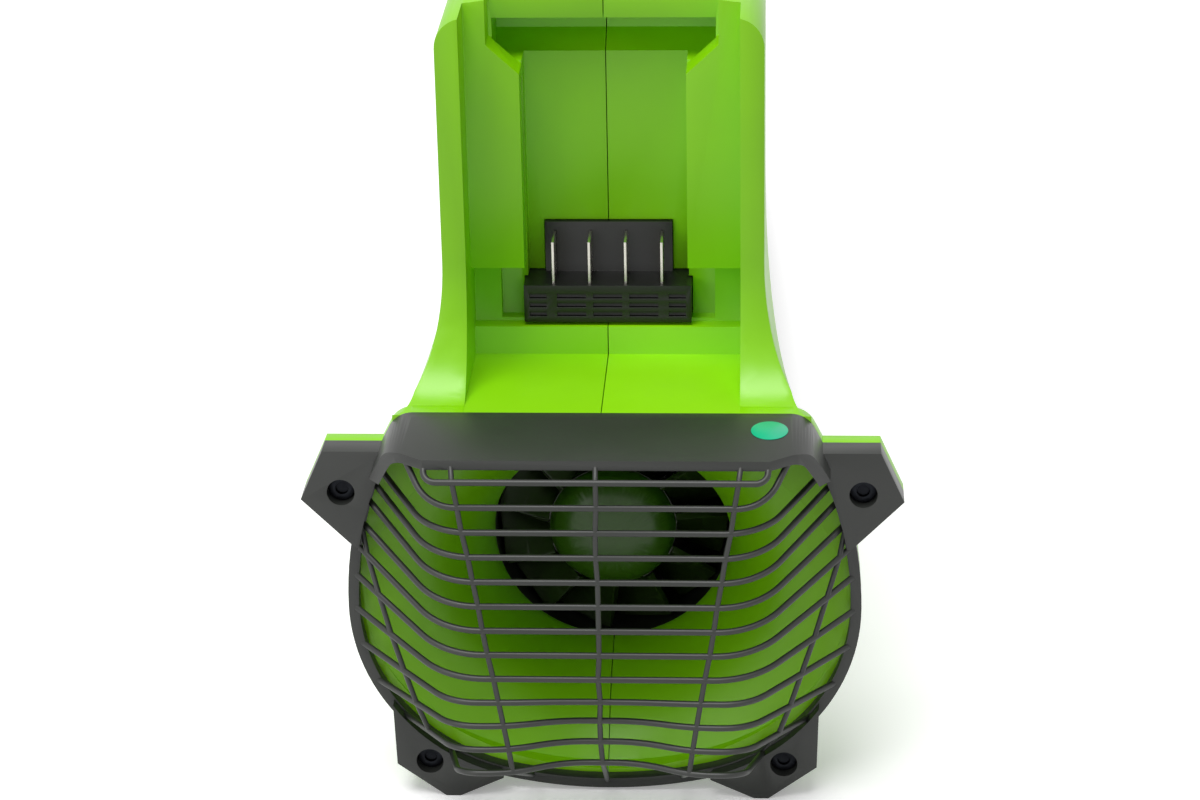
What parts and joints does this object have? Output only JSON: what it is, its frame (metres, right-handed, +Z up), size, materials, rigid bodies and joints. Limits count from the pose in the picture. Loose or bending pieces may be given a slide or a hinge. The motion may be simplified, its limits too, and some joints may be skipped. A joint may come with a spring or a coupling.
{
  "type": "leaf blower",
  "caption": "Cordless handheld leaf blower with a rear intake grille, axial fan, looped trigger handle, battery bay with slide rails and a tapering nozzle.",
  "frame": {"origin": "on the ground, below the middle of the blower's overall length and width", "axes": "+Y forwards along the air path to the nozzle, +X to the right seen from behind, +Z up"},
  "size_m": [0.178, 0.601, 0.241],
  "materials": {
    "housing_plastic": "satin",
    "grille_plastic": "fine grain",
    "dark_plastic": "fine grain",
    "black_plastic": "satin",
    "nozzle_plastic": "fine grain",
    "fan_plastic": "satin",
    "accent_plastic": "satin",
    "soft_grip": "soft touch",
    "screw_steel": "zinc plated",
    "contact_metal": "tinned",
    "motor_steel": "plain",
    "sink_metal": "plain",
    "copper": "enamelled wire",
    "board": "lacquered",
    "wire": "insulated"
  },
  "bodies": {
    "blower": {"housing_left": "housing_plastic", "housing_right": "housing_plastic", "fan_duct": "dark_plastic", "tail_cone": "dark_plastic", "intake_grille": "grille_plastic", "grille_screws": "screw_steel", "housing_screws": "screw_steel", "terminal_block": "black_plastic", "terminal_blades": "contact_metal", "grip_sleeve": "soft_grip", "trigger_pin": "screw_steel", "trigger_spring": "screw_steel", "trigger_switch": "black_plastic", "button_board": "board", "button_spring": "screw_steel", "speed_sensor": "black_plastic", "stator_core": "motor_steel", "stator_windings": "copper", "motor_can": "motor_steel", "motor_end_cap": "motor_steel", "front_bearing": "screw_steel", "rear_bearing": "screw_steel", "controller_board": "board", "heat_sink": "sink_metal", "capacitors": "black_plastic", "battery_leads": "wire", "motor_leads": "wire", "grip_leads": "wire"},
    "fan_rotor": {"impeller": "fan_plastic", "fan_nut": "screw_steel", "spinner": "fan_plastic", "motor_shaft": "screw_steel", "rotor_magnet": "motor_steel"},
    "finger_trigger": {"trigger": "black_plastic"},
    "plunger": {"switch_plunger": "black_plastic"},
    "speed_lever": {"cruise_lever": "black_plastic"},
    "boost_button": {"turbo_button": "accent_plastic"},
    "blow_tube": {"nozzle": "nozzle_plastic"}
  },
  "joints": [
    {"name": "fan_spin", "type": "hinge", "parent": "blower", "child": "fan_rotor", "pos_m": [0, -0.2025, 0.063], "axis": [0, 1, 0], "continuous": true},
    {"name": "trigger_pull", "type": "hinge", "parent": "blower", "child": "finger_trigger", "pos_m": [0, -0.09065, 0.1631], "axis": [-1, 0, 0], "range_deg": [0, 10], "stiffness_Nm_per_rad": 0.6, "springref_deg": -8.59, "deforming": ["trigger_spring"]},
    {"name": "plunger_press", "type": "slide", "parent": "blower", "child": "plunger", "axis": [0, 0.342, 0.9397], "range_m": [0, 0.0036]},
    {"name": "lever_turn", "type": "hinge", "parent": "blower", "child": "speed_lever", "pos_m": [0, -0.13667, 0.18869], "axis": [1, 0, 0], "range_deg": [0, 60]},
    {"name": "button_press", "type": "slide", "parent": "blower", "child": "boost_button", "axis": [0, -0.342, -0.9397], "range_m": [0, 0.0025], "stiffness_N_per_m": 800, "springref_m": -0.002, "deforming": ["button_spring"]},
    {"name": "nozzle_slide", "type": "slide", "parent": "blower", "child": "blow_tube", "axis": [0, 1, 0], "range_m": [0, 0.05]}
  ],
  "couplings": [
    {"joint": "plunger_press", "follows": "trigger_pull", "m_per_rad": 0.0195}
  ]
}
